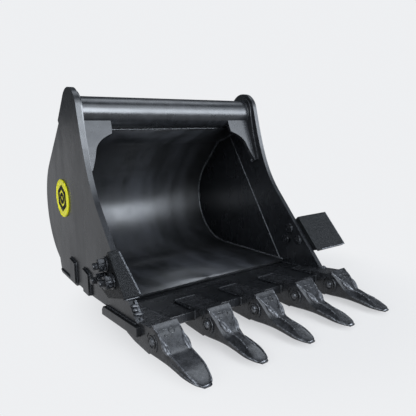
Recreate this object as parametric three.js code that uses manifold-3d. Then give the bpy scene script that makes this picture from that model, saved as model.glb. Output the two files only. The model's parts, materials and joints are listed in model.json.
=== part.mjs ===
// Excavator digging bucket for a machine of about twenty tonnes.
//
// Millimetres, +Z up. x runs across the bucket, 0 in its middle plane. Every outline below is drawn in
// (y, z): y runs backwards from the front edge of the lip and z up from the ground. The last lines move
// the whole bucket so that the origin is on the ground, under the middle heel bar.
import * as THREE from 'three';
import { mergeVertices } from 'three/addons/utils/BufferGeometryUtils.js';
import Module from 'manifold-3d';

const wasm = await Module();
wasm.setup();

// ---------------------------------------------------------------- driving dimensions
const HALF = 525;                 // half the width over the side bars
const BAR_T = 24;                 // side bar, the thick front part of each side
const CHEEK_T = 18;               // cheek plate, the thinner rear part of each side
const INNER = HALF - BAR_T;       // inner face of both
const CHEEK_OUT = INNER + CHEEK_T;
const SHELL_T = 14;               // wrapper
const GAP = 0.4;                  // root gap between plates that are welded or bolted together

const TUBE = { y: 690, z: 861, r: 75.5, wall: 12 };
const LOBE = { y: 686, z: 870, r: 105 };       // top of the side bar, round the tube
const SEAM_TOP = [866, 826];      // seam between side bar and cheek plate
const SEAM_FOOT = [320, 52];

const LIP = { top: 83, slope: 0.114, t: 40, length: 345, overhang: 17 };
const lipTop = (y) => LIP.top - LIP.slope * y;
const lipBottom = (y) => lipTop(y) - LIP.t;

const HEEL = { y: 862, z: 330, r: 290 };       // inside of the rolled wrapper
const CHEEK = { y: 884, z: 362, r: 318 };      // rear edge of the cheek plate
const CREASE = [927, 688];                     // bend between the wrapper's back and its top
const FLOOR_FRONT = [306, 66];                 // front end of the wrapper, lying on the lip
const TOP_FRONT = [697.5, 772.6];              // front end of the wrapper's top, against the tube

const HEEL_STRIP_T = 14;
const PAD_T = 14;                 // wear pads low on the outside of the cheek plates
const EAR = { gap: 310, t: 30, r: 84 };
const BOSS = { r: 70, t: 25 };
const BUSH = { out: 50, bore: 40 };
const STICK_PIN = [880, 850];
const LINK_PIN = [1188, 574];

const TOOTH = { count: 5, pitch: 236, half: 51.5, tip: -358 };
const NOSE_HALF = 36;
const TOOTH_PIN = { y: -84, z: 60, r: 16, half: 52, clearance: 0.5 };
const EAR_LOOP_R = 34;            // tooth metal round its retaining pin

const CUTTER_BOLTS = [[260, 255], [282, 188], [196, 203]];
const BOLT = { r: 15, head: 15, headR: 27, end: 604 };
const NUT = { washerR: 33, washer: 8, hexR: 29, length: 30 };
const CUTTER_T = 20;
const EDGE_ANGLE = THREE.MathUtils.degToRad(45.9);   // straight lower part of the side bar's front edge
const EDGE_FOOT = [33, 88];
const CUTTER = { from: 95, length: 208 };            // along the front edge, from its foot

const REST_Y = 780;               // the origin, on the flat of the middle heel bar

// ---------------------------------------------------------------- materials
const paint = (color, roughness) => new THREE.MeshStandardMaterial({ color, roughness, metalness: 0.2 });
const BLACK_PAINT = paint(0x2b2d2f, 0.38);
const CAST = new THREE.MeshStandardMaterial({ color: 0x232425, roughness: 0.5, metalness: 0.5 });
const BOLT_STEEL = new THREE.MeshStandardMaterial({ color: 0x17181a, roughness: 0.42, metalness: 0.7 });
const BRONZE = new THREE.MeshStandardMaterial({ color: 0x6f5b3a, roughness: 0.4, metalness: 0.9 });
const YELLOW = paint(0xe8dc28, 0.35);

// ---------------------------------------------------------------- helpers
// A closed geometry as a solid that can be joined and cut.
function solidOf(geometry) {
  geometry.deleteAttribute('normal');
  geometry.deleteAttribute('uv');
  const merged = mergeVertices(geometry, 1e-3);
  return new wasm.Manifold(new wasm.Mesh({
    numProp: 3,
    vertProperties: merged.attributes.position.array,
    triVerts: new Uint32Array(merged.index.array),
  }));
}

function geometryOf(solid) {
  const mesh = solid.getMesh();
  const geometry = new THREE.BufferGeometry();
  geometry.setAttribute('position', new THREE.BufferAttribute(mesh.vertProperties, 3));
  geometry.setIndex(new THREE.BufferAttribute(mesh.triVerts, 1));
  geometry.computeVertexNormals();
  return geometry;
}

const polygon = (points) => new THREE.Shape(points.map(([u, v]) => new THREE.Vector2(u, v)));
const extrude = (shape, depth, curveSegments = 10) =>
  new THREE.ExtrudeGeometry(shape, { depth, bevelEnabled: false, curveSegments });

// An outline in (y, z) swept across the bucket, between two values of x in either order.
function across(shape, xa, xb, curveSegments) {
  const x0 = Math.min(xa, xb);
  const geometry = extrude(shape, Math.abs(xb - xa), curveSegments);
  geometry.applyMatrix4(new THREE.Matrix4().set(0, 0, 1, x0, 1, 0, 0, 0, 0, 1, 0, 0, 0, 0, 0, 1));
  return solidOf(geometry);
}

// A round or hexagonal bar across the bucket.
function barAcross(r, xa, xb, [y, z], sides = 28) {
  const geometry = new THREE.CylinderGeometry(r, r, Math.abs(xb - xa), sides);
  geometry.rotateZ(Math.PI / 2);
  geometry.translate((xa + xb) / 2, y, z);
  return solidOf(geometry);
}

const ringAcross = (rOut, rIn, xa, xb, at, sides = 28) => {
  const reach = Math.sign(xb - xa);
  return barAcross(rOut, xa, xb, at, sides).subtract(barAcross(rIn, xa - reach, xb + reach, at, sides));
};

// The point where a line from `from` touches a circle; side is +1 for a circle on the line's left.
function tangentPoint(from, circle, r, side) {
  const dy = circle.y - from[0];
  const dz = circle.z - from[1];
  const distance = Math.hypot(dy, dz);
  const angle = Math.atan2(dz, dy) - side * Math.asin(r / distance);
  const length = Math.sqrt(distance ** 2 - r ** 2);
  return [from[0] + length * Math.cos(angle), from[1] + length * Math.sin(angle)];
}

const angleOf = (circle, [y, z]) => Math.atan2(z - circle.z, y - circle.y);

// Continues a shape round a circle, from one point on it to another.
function arcTo(shape, circle, r, from, to, clockwise) {
  shape.absarc(circle.y, circle.z, r, angleOf(circle, from), angleOf(circle, to), clockwise);
}

const bucket = new THREE.Group();
function add(name, solid, material) {
  const mesh = new THREE.Mesh(geometryOf(solid), material);
  mesh.name = name;
  bucket.add(mesh);
}

const SIDES = [['left', -1], ['right', 1]];

// ---------------------------------------------------------------- side bars and cheek plates
// Side bar: on the lip, up the front edge, over the tube, and back down the seam.
function sideBarShape() {
  const throat = [381, EDGE_FOOT[1] + (381 - EDGE_FOOT[0]) * Math.tan(EDGE_ANGLE)];
  const front = tangentPoint([545, 755], LOBE, LOBE.r, -1);
  const rear = tangentPoint(SEAM_TOP, LOBE, LOBE.r, 1);
  const shape = new THREE.Shape();
  shape.moveTo(EDGE_FOOT[0], lipTop(EDGE_FOOT[0]) + GAP);
  shape.lineTo(...throat);
  shape.bezierCurveTo(485, 559, 531, 705, ...front);
  arcTo(shape, LOBE, LOBE.r, front, rear, true);
  shape.lineTo(...SEAM_TOP);
  shape.lineTo(...SEAM_FOOT);
  shape.lineTo(SEAM_FOOT[0] - 2, lipTop(SEAM_FOOT[0]) + GAP);
  return shape;
}

// Cheek plate: from the seam round the back of the bucket to its heel, then forward along the ground.
function cheekShape() {
  const heelEnd = [1020, CHEEK.z - Math.sqrt(CHEEK.r ** 2 - (1020 - CHEEK.y) ** 2)];
  const top = [SEAM_TOP[0] + 1, SEAM_TOP[1] - 6];
  const tangent = tangentPoint(top, CHEEK, CHEEK.r, -1);
  const shape = new THREE.Shape();
  shape.moveTo(...top);
  shape.lineTo(...tangent);
  arcTo(shape, CHEEK, CHEEK.r, tangent, heelEnd, true);
  shape.lineTo(1000, HEEL_STRIP_T + GAP);
  shape.lineTo(600, HEEL_STRIP_T + GAP);
  shape.lineTo(LIP.length + 2, 36);
  shape.lineTo(LIP.length + 2, lipTop(LIP.length) + GAP);
  shape.lineTo(SEAM_FOOT[0] + 1.5, SEAM_FOOT[1]);
  return shape;
}

for (const [side, s] of SIDES) {
  const boltHoles = CUTTER_BOLTS.map((at) => barAcross(BOLT.r + GAP, s * (INNER - 5), s * (HALF + 5), at, 20));
  let bar = across(sideBarShape(), s * INNER, s * HALF, 14);
  for (const hole of boltHoles) bar = bar.subtract(hole);
  add(`side_bar_${side}`, bar, BLACK_PAINT);
  add(`cheek_plate_${side}`, across(cheekShape(), s * INNER, s * CHEEK_OUT, 24), BLACK_PAINT);
  add(`heel_strip_${side}`, across(polygon([[735, 0], [985, 0], [1000, HEEL_STRIP_T], [720, HEEL_STRIP_T]]),
    s * (INNER - 4), s * (CHEEK_OUT + 4)), BLACK_PAINT);
  for (const [name, y] of [['rear', 727], ['front', 533]]) {
    add(`side_pad_${name}_${side}`, across(polygon([[y, 18], [y + 75, 18], [y + 75, 134], [y + 4, 124], [y, 116]]),
      s * (CHEEK_OUT + GAP), s * (CHEEK_OUT + PAD_T)), BLACK_PAINT);
  }
}

// ---------------------------------------------------------------- wrapper, tube and lip
// The rolled sheet as a path: floor, heel arc, back and top. `out` moves it outwards from the inside face.
function wrapperPath(out) {
  const heel = HEEL.r + out;
  const floorStart = [FLOOR_FRONT[0], FLOOR_FRONT[1] - out];
  const floorEnd = tangentPoint(floorStart, HEEL, heel, 1);
  const lean = Math.atan2(CREASE[1] - TOP_FRONT[1], CREASE[0] - TOP_FRONT[0]);
  const crease = [CREASE[0] + out * 0.72, CREASE[1] + out * 1.02];
  const backEnd = tangentPoint(crease, HEEL, heel, -1);
  const topEnd = [TOP_FRONT[0] - out * Math.sin(lean), TOP_FRONT[1] + out * Math.cos(lean)];
  return { floorStart, floorEnd, backEnd, crease, topEnd, heel };
}

function wrapperShape() {
  const inside = wrapperPath(0);
  const outside = wrapperPath(SHELL_T);
  const shape = new THREE.Shape();
  shape.moveTo(...inside.floorStart);
  shape.lineTo(...inside.floorEnd);
  arcTo(shape, HEEL, inside.heel, inside.floorEnd, inside.backEnd, false);
  shape.lineTo(...inside.crease);
  shape.lineTo(...TOP_FRONT);
  shape.lineTo(...outside.topEnd);
  shape.lineTo(...outside.crease);
  shape.lineTo(...outside.backEnd);
  arcTo(shape, HEEL, outside.heel, outside.backEnd, outside.floorEnd, true);
  shape.lineTo(...outside.floorStart);
  return shape;
}

// Everything inside the outer skin of the wrapper: what the ears and heel bars are cut back from.
function insideSkin(out) {
  const path = wrapperPath(SHELL_T + out);
  const shape = new THREE.Shape();
  shape.moveTo(FLOOR_FRONT[0] - 200, path.floorStart[1] + 12);
  shape.lineTo(...path.floorStart);
  shape.lineTo(...path.floorEnd);
  arcTo(shape, HEEL, path.heel, path.floorEnd, path.backEnd, false);
  shape.lineTo(...path.crease);
  shape.lineTo(...path.topEnd);
  shape.lineTo(TOP_FRONT[0] - 120, TOP_FRONT[1]);
  return shape;
}

const SHEET_HALF = INNER - GAP;
add('wrapper', across(wrapperShape(), -SHEET_HALF, SHEET_HALF, 28), BLACK_PAINT);

const DOUBLER_T = 12;
const DOUBLER_IN = INNER - GAP - DOUBLER_T;
const TUBE_HALF = DOUBLER_IN - GAP;
const TUBE_AT = [TUBE.y, TUBE.z];
add('torsion_tube', ringAcross(TUBE.r, TUBE.r - TUBE.wall, -TUBE_HALF, TUBE_HALF, TUBE_AT, 48), BLACK_PAINT);

add('lip_plate', across(polygon([
  [0, LIP.top], [0, LIP.top - LIP.t + 6], [7, lipBottom(7)], [LIP.length, lipBottom(LIP.length)],
  [LIP.length, lipTop(LIP.length) - 16], [LIP.length - 14, lipTop(LIP.length - 14)],
]), -HALF - LIP.overhang, HALF + LIP.overhang), BLACK_PAINT);

// Doubler: a flat plate inside each side bar, round the tube's end and down the front edge.
function doublerShape() {
  const shape = new THREE.Shape();
  const r = LOBE.r - 14;
  shape.moveTo(LOBE.y - r, LOBE.z);
  shape.absarc(LOBE.y, LOBE.z, r, Math.PI, 0, true);
  shape.bezierCurveTo(LOBE.y + r - 4, 830, 706, 830, 676, 760);
  shape.lineTo(606, 606);
  shape.lineTo(520, 606);
  shape.bezierCurveTo(548, 690, 585, 800, LOBE.y - r, LOBE.z);
  return shape;
}

// Gusset: a leaning plate across the corner between tube and side bar, with a hollow free edge.
const GUSSET = { t: 20, foot: [555, 600], lean: Math.atan(0.4) };
function gussetShape() {
  const up = (z) => (z - GUSSET.foot[1]) / Math.cos(GUSSET.lean);
  const shape = new THREE.Shape();
  shape.moveTo(DOUBLER_IN - GAP, up(596));
  shape.lineTo(DOUBLER_IN - GAP, up(830));
  shape.lineTo(349, up(830));
  shape.lineTo(349, up(789));
  shape.lineTo(354, up(758));
  shape.bezierCurveTo(412, up(738), 438, up(712), 447, up(680));
  shape.bezierCurveTo(455, up(650), 468, up(620), 480, up(596));
  return shape;
}

for (const [side, s] of SIDES) {
  add(`lobe_doubler_${side}`, across(doublerShape(), s * (INNER - GAP), s * DOUBLER_IN), BLACK_PAINT);
  const plate = extrude(gussetShape(), GUSSET.t);
  plate.rotateX(Math.PI / 2 - GUSSET.lean);
  plate.translate(0, ...GUSSET.foot);
  const upright = solidOf(plate).subtract(barAcross(TUBE.r + GAP, 300, HALF, TUBE_AT, 48));
  add(`corner_gusset_${side}`, s > 0 ? upright : upright.mirror([1, 0, 0]), BLACK_PAINT);
}

// ---------------------------------------------------------------- heel bars under the wrapper
const skin = across(insideSkin(GAP), -HALF, HALF, 28);
const HEEL_BAR = { half: 40, x: [-300, 0, 300] };
HEEL_BAR.x.forEach((x, i) => {
  const block = across(polygon([[500, 24], [600, 0], [985, 0], [998, 14], [998, 90], [500, 90]]),
    x - HEEL_BAR.half, x + HEEL_BAR.half);
  add(`heel_bar_${i + 1}`, block.subtract(skin), BLACK_PAINT);
});

// ---------------------------------------------------------------- ears, bosses and bushes
function earShape() {
  const stick = { y: STICK_PIN[0], z: STICK_PIN[1] };
  const link = { y: LINK_PIN[0], z: LINK_PIN[1] };
  const along = Math.atan2(link.z - stick.z, link.y - stick.y);
  const shape = new THREE.Shape();
  shape.moveTo(778, 740);
  shape.lineTo(stick.y - EAR.r, stick.z);
  shape.absarc(stick.y, stick.z, EAR.r, Math.PI, along + Math.PI / 2, true);
  shape.absarc(link.y, link.z, EAR.r, along + Math.PI / 2, -Math.PI / 2.6, true);
  shape.lineTo(1120, 380);
  shape.lineTo(900, 500);
  return shape;
}

for (const [side, s] of SIDES) {
  const inner = s * EAR.gap / 2;
  const outer = inner + s * EAR.t;
  const end = outer + s * BOSS.t;
  let ear = across(earShape(), inner, outer).subtract(skin);
  for (const [pin, at] of [['stick', STICK_PIN], ['link', LINK_PIN]]) {
    ear = ear.subtract(barAcross(BUSH.out + GAP, inner - s, outer + s, at));
    add(`${pin}_boss_${side}`, ringAcross(BOSS.r, BUSH.out + GAP, outer + s * GAP, end, at), BLACK_PAINT);
    add(`${pin}_bush_${side}`, ringAcross(BUSH.out, BUSH.bore, inner, end, at), BRONZE);
  }
  add(`ear_${side}`, ear, BLACK_PAINT);
}

// ---------------------------------------------------------------- teeth, adapters and pins
// Side view of a tooth. `grow` moves its rear outline backwards, for the room an adapter leaves it.
function toothShape(grow) {
  const [y, z, r] = [TOOTH_PIN.y, TOOTH_PIN.z, EAR_LOOP_R + grow];
  const shape = new THREE.Shape();
  shape.moveTo(-86 + grow, 122);
  shape.lineTo(-72 + grow, 92);
  shape.absarc(y, z, r, THREE.MathUtils.degToRad(62), THREE.MathUtils.degToRad(-62), true);
  shape.lineTo(-64 + grow, 18);
  shape.lineTo(-66 + grow, 5);
  shape.bezierCurveTo(-140, 12, -200, 18, -300, 17);
  shape.lineTo(TOOTH.tip + 3, 14);
  shape.lineTo(TOOTH.tip, 17);
  shape.lineTo(TOOTH.tip + 2, 24);
  shape.bezierCurveTo(-330, 26, -310, 36, -280, 46);
  shape.bezierCurveTo(-240, 56, -200, 55, -172, 78);
  shape.bezierCurveTo(-150, 94, -120, 108, -98, 116);
  return shape;
}

// Plan view of a tooth: full width at its ears, a waist, and a rounded spade point.
function toothPlan() {
  const side = [[TOOTH.half, -40], [TOOTH.half, -100], [46, -130], [44.5, -165], [42, -205], [42.5, -240],
    [43.5, -265], [42, -292], [37, -316], [29, -336], [16.5, TOOTH.tip]];
  return polygon([...side, ...side.map(([x, y]) => [-x, y]).reverse()]);
}

// The adapter's nose, a wedge; `grow` is the room that the tooth's socket leaves round it.
function noseSolid(grow) {
  const tip = -190 - grow;
  const side = across(polygon([
    [-40, 16 - grow], [-40, 100 + grow], [-100, 92 + grow], [tip, 52 + grow], [tip, 28 - grow],
  ]), -NOSE_HALF - grow, NOSE_HALF + grow);
  const taper = extrude(polygon([
    [NOSE_HALF + grow, -40], [-NOSE_HALF - grow, -40], [-24 - grow, tip - 1], [24 + grow, tip - 1],
  ]), 140);
  return side.intersect(solidOf(taper));
}

// Side view of the adapter behind its nose: a jaw that straddles the lip, with a strap above and below.
const adapterJaw = polygon([
  [-86, 20], [-60, 2], [58, 0], [128, 8], [128, lipBottom(128) - GAP], [-GAP, LIP.top - LIP.t - GAP],
  [-GAP, lipTop(0) + GAP], [160, lipTop(160) + GAP], [160, lipTop(160) + 7], [56, lipTop(56) + 13],
  [0, 98], [-86, 112],
]);

const pinHole = barAcross(TOOTH_PIN.r + TOOTH_PIN.clearance, -HALF, HALF, [TOOTH_PIN.y, TOOTH_PIN.z], 20);
const toothSolid = across(toothShape(0), -TOOTH.half, TOOTH.half, 6)
  .intersect(solidOf(extrude(toothPlan(), 200, 5).translate(0, 0, -20)))
  .subtract(noseSolid(0.5))
  .subtract(pinHole);
const adapterSolid = across(adapterJaw, -TOOTH.half, TOOTH.half)
  .subtract(across(toothShape(0.6), -HALF, HALF, 6))
  .add(noseSolid(0))
  .subtract(pinHole);
const pinSolid = barAcross(TOOTH_PIN.r, -TOOTH_PIN.half, TOOTH_PIN.half, [TOOTH_PIN.y, TOOTH_PIN.z], 20);

// The outer adapters' top straps are notched to pass inside the side bars.
const barFoot = polygon([[EDGE_FOOT[0] - 2, 60], [200, 60], [200, 140], [EDGE_FOOT[0] - 2, 140]]);
const notches = across(barFoot, -HALF, -INNER + GAP).add(across(barFoot, INNER - GAP, HALF));

for (let i = 0; i < TOOTH.count; i += 1) {
  const shift = [(i - (TOOTH.count - 1) / 2) * TOOTH.pitch, 0, 0];
  add(`adapter_${i + 1}`, adapterSolid.translate(shift).subtract(notches), CAST);
  add(`tooth_${i + 1}`, toothSolid.translate(shift), CAST);
  add(`tooth_pin_${i + 1}`, pinSolid.translate(shift), BOLT_STEEL);
}

// ---------------------------------------------------------------- side cutters
// A point `along` the straight front edge of a side bar and `off` in front of it.
const edgePoint = (along, off) => [
  EDGE_FOOT[0] + along * Math.cos(EDGE_ANGLE) - off * Math.sin(EDGE_ANGLE),
  EDGE_FOOT[1] + along * Math.sin(EDGE_ANGLE) + off * Math.cos(EDGE_ANGLE),
];

const CAP_T = 14;
const flangeShape = (front) => polygon([
  edgePoint(CUTTER.from, front), edgePoint(CUTTER.from + CUTTER.length, front),
  edgePoint(CUTTER.from + CUTTER.length, -40), [325, 262], [325, 128], [250, 112],
]);
const WING = { t: 20, reach: 218 };
const wingShape = polygon([
  edgePoint(CUTTER.from, 0), edgePoint(CUTTER.from, WING.t),
  edgePoint(CUTTER.from + CUTTER.length, WING.t), edgePoint(CUTTER.from + CUTTER.length, 0),
]);

const flangeOut = HALF + GAP + CUTTER_T;
const withBoltHoles = (solid, s) => CUTTER_BOLTS.reduce(
  (rest, at) => rest.subtract(barAcross(BOLT.r + GAP, s * HALF, s * (flangeOut + 2), at, 20)), solid);

// Right: a flange with a broad wing that widens the cut. Left: a flange and a cap over the bar's edge.
const wing = across(wingShape, flangeOut - 2, HALF + WING.reach);
add('side_cutter_right',
  withBoltHoles(across(flangeShape(WING.t), HALF + GAP, flangeOut).add(wing), 1), CAST);
const corner = (x, along, off) => { const [y, z] = edgePoint(along, off); return [x, y, z]; };
const cap = wasm.Manifold.hull([[CUTTER.from, -INNER + 24], [CUTTER.from + CUTTER.length, -INNER]]
  .flatMap(([along, x]) => [GAP, CAP_T].flatMap((off) => [corner(x, along, off), corner(-flangeOut, along, off)])));
add('side_cutter_left',
  withBoltHoles(across(flangeShape(CAP_T), -HALF - GAP, -flangeOut).add(cap), -1), CAST);

for (const [side, s] of SIDES) {
  CUTTER_BOLTS.forEach((at, i) => {
    const head = barAcross(BOLT.headR, s * (INNER - GAP), s * (INNER - GAP - BOLT.head), at, 6);
    const shank = barAcross(BOLT.r, s * (INNER - 5), s * BOLT.end, at, 20);
    add(`cutter_bolt_${i + 1}_${side}`, head.add(shank), BOLT_STEEL);
    const seat = s * (flangeOut + GAP);
    const washer = barAcross(NUT.washerR, seat, seat + s * NUT.washer, at);
    const hex = barAcross(NUT.hexR, seat + s * (NUT.washer - 1), seat + s * (NUT.washer + NUT.length), at, 6);
    const bore = barAcross(BOLT.r + GAP, s * HALF, s * (BOLT.end + 20), at, 20);
    add(`cutter_nut_${i + 1}_${side}`, washer.add(hex).subtract(bore), BOLT_STEEL);
  });
}

// ---------------------------------------------------------------- badge
const BADGE = { y: 882, z: 432, r: 98, t: 5 };
add('side_badge', barAcross(BADGE.r, -CHEEK_OUT - GAP, -CHEEK_OUT - GAP - BADGE.t, [BADGE.y, BADGE.z], 40), YELLOW);

bucket.position.y = -REST_Y;
const part = new THREE.Group();
part.add(bucket);
export default part;
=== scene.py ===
"""Looks for the excavator bucket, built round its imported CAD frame.

The frame is in metres. Shapes are written in millimetres, with y measured back from the front edge of
the lip and z up from the ground, and at() turns them into the frame's metres.
"""
import json
import math
import random
import bmesh
import bpy
import numpy as np
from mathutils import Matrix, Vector


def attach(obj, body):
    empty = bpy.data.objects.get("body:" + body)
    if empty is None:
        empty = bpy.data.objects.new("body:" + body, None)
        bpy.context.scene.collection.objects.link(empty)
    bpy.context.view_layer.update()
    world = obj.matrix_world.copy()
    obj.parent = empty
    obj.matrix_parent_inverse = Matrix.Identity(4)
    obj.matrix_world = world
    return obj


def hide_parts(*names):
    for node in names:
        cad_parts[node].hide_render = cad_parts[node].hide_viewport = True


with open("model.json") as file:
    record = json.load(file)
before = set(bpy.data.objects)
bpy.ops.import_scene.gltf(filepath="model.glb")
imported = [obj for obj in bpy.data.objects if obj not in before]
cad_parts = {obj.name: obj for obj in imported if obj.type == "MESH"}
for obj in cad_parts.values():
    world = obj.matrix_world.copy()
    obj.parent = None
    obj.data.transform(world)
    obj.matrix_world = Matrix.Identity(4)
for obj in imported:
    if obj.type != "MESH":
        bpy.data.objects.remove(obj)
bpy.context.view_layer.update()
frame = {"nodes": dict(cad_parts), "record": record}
scene = bpy.context.scene
scene.view_settings.view_transform = "Standard"

REST_Y = 780          # mm: the part's origin, measured back from the front edge of the lip
SIDES = (("left", -1), ("right", 1))


def at(x, y, z):
    """A point given in mm, y measured back from the lip's front edge, in the frame's metres."""
    return Vector((x, y - REST_Y, z)) / 1000


# ---------------------------------------------------------------- camera
CAMERA_AT = at(-1153, -1333, 828)
CAMERA_YAW, CAMERA_PITCH = 34.91, 11.62      # degrees: turned right from +y, and down
SENSOR, FOCAL = 36, 37.0904                  # mm
CLIP_FROM, CLIP_TO = 0.05, 200               # m

camera = bpy.data.objects.new("camera", bpy.data.cameras.new("camera"))
camera.location = CAMERA_AT
camera.rotation_euler = (math.radians(90 - CAMERA_PITCH), 0, -math.radians(CAMERA_YAW))
camera.data.sensor_width, camera.data.lens = SENSOR, FOCAL
camera.data.clip_start, camera.data.clip_end = CLIP_FROM, CLIP_TO
scene.collection.objects.link(camera)
scene.camera = camera


# ---------------------------------------------------------------- light and floor
# Soft boxes of the studio, painted on the sky: direction, half angle and softness in degrees, brightness.
SOFT_BOXES = (
    ((0.42, -0.83, 0.44), 24, 8, 4.0),
    ((0.46, -0.88, 0.04), 24, 8, 9.0),
    ((0.02, -0.97, 0.22), 20, 10, 8.0),
    ((-0.84, -0.24, 0.42), 19, 9, 3.6),
    ((0.40, 0.04, 0.92), 11, 7, 2.6),
    ((0.49, 0.22, 0.84), 8, 8, 1.5),
)
DIM = 0.12                                   # the sky's brightness between the boxes
COOL, PALE = (0.74, 0.80, 0.88, 1), (0.855, 0.866, 0.884, 1)

FLOOR_HALF, FLOOR_DROP = 60, 0.0005          # m; it lies just under z = 0, clear of the bucket's underside
FLOOR_ALBEDO = (0.34, 0.322, 0.30, 1)
FLOOR_GLOW = (0.46, 0.467, 0.48, 1)
FLOOR_LIGHT = (0.46, 0.47, 0.49, 1)
SHADE_MIDDLE, SHADE_REACH = (0.20, -0.66, 0), (0.5, 1.0)   # m: where the shadow may show, and where it fades


def seen_or_lit(tree, seen, lit):
    """`seen` where the eye looks straight at it, `lit` for the light that it gives to the rest."""
    path = tree.nodes.new("ShaderNodeLightPath")
    mix = tree.nodes.new("ShaderNodeMixShader")
    tree.links.new(path.outputs["Is Camera Ray"], mix.inputs[0])
    tree.links.new(lit, mix.inputs[1])
    tree.links.new(seen, mix.inputs[2])
    return mix.outputs[0]


def soft_box(tree, place, direction, half, soft, bright, dark):
    """Brightness on the sky: `bright` within a soft box and `dark` outside it."""
    dot = tree.nodes.new("ShaderNodeVectorMath")
    dot.operation = "DOT_PRODUCT"
    tree.links.new(place, dot.inputs[0])
    dot.inputs[1].default_value = Vector(direction).normalized()
    edge = tree.nodes.new("ShaderNodeMapRange")
    edge.interpolation_type = "SMOOTHSTEP"
    tree.links.new(dot.outputs["Value"], edge.inputs["Value"])
    edge.inputs["From Min"].default_value = math.cos(math.radians(half + soft))
    edge.inputs["From Max"].default_value = math.cos(math.radians(half - soft / 2))
    edge.inputs["To Min"].default_value, edge.inputs["To Max"].default_value = dark, bright
    return edge.outputs[0]


def studio_sky():
    """A sky that looks evenly pale and lights the bucket with soft boxes."""
    world = bpy.data.worlds.new("studio")
    world.use_nodes = True
    scene.world = world
    tree = world.node_tree
    pale = tree.nodes["Background"]
    pale.inputs["Color"].default_value = PALE
    place = tree.nodes.new("ShaderNodeTexCoord").outputs["Generated"]
    total = soft_box(tree, place, *SOFT_BOXES[0], DIM)
    for box in SOFT_BOXES[1:]:
        add = tree.nodes.new("ShaderNodeMath")
        tree.links.new(total, add.inputs[0])
        tree.links.new(soft_box(tree, place, *box, 0), add.inputs[1])
        total = add.outputs[0]
    light = tree.nodes.new("ShaderNodeBackground")
    light.inputs["Color"].default_value = COOL
    tree.links.new(total, light.inputs["Strength"])
    both = seen_or_lit(tree, pale.outputs[0], light.outputs[0])
    tree.links.new(both, tree.nodes["World Output"].inputs[0])


def emission(tree, colour):
    """A plain glow."""
    node = tree.nodes.new("ShaderNodeEmission")
    node.inputs["Color"].default_value = colour
    return node.outputs[0]


def floor_material():
    """Matt near the bucket, where its shadow shows, and as pale as the sky further off."""
    material = bpy.data.materials.new("floor")
    material.use_nodes = True
    tree = material.node_tree
    tree.nodes.remove(tree.nodes["Principled BSDF"])
    matt = tree.nodes.new("ShaderNodeBsdfDiffuse")
    matt.inputs["Color"].default_value = FLOOR_ALBEDO
    near = tree.nodes.new("ShaderNodeAddShader")
    tree.links.new(matt.outputs[0], near.inputs[0])
    tree.links.new(emission(tree, FLOOR_GLOW), near.inputs[1])
    reach = tree.nodes.new("ShaderNodeVectorMath")
    reach.operation = "DISTANCE"
    tree.links.new(tree.nodes.new("ShaderNodeTexCoord").outputs["Object"], reach.inputs[0])
    reach.inputs[1].default_value = SHADE_MIDDLE
    fade = tree.nodes.new("ShaderNodeMapRange")
    fade.interpolation_type = "SMOOTHSTEP"
    tree.links.new(reach.outputs["Value"], fade.inputs["Value"])
    fade.inputs["From Min"].default_value, fade.inputs["From Max"].default_value = SHADE_REACH
    seen = tree.nodes.new("ShaderNodeMixShader")
    for socket, value in zip(seen.inputs, (fade.outputs[0], near.outputs[0], emission(tree, PALE))):
        tree.links.new(value, socket)
    both = seen_or_lit(tree, seen.outputs[0], emission(tree, FLOOR_LIGHT))
    tree.links.new(both, tree.nodes["Material Output"].inputs[0])
    return material


def studio_floor():
    mesh = bpy.data.meshes.new("floor")
    corners = [(x * FLOOR_HALF, y * FLOOR_HALF, 0) for x, y in ((-1, -1), (1, -1), (1, 1), (-1, 1))]
    mesh.from_pydata(corners, [], [(0, 1, 2, 3)])
    floor = bpy.data.objects.new("floor", mesh)
    floor.location.z = -FLOOR_DROP
    scene.collection.objects.link(floor)
    floor.data.materials.append(floor_material())


studio_sky()
studio_floor()


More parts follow.
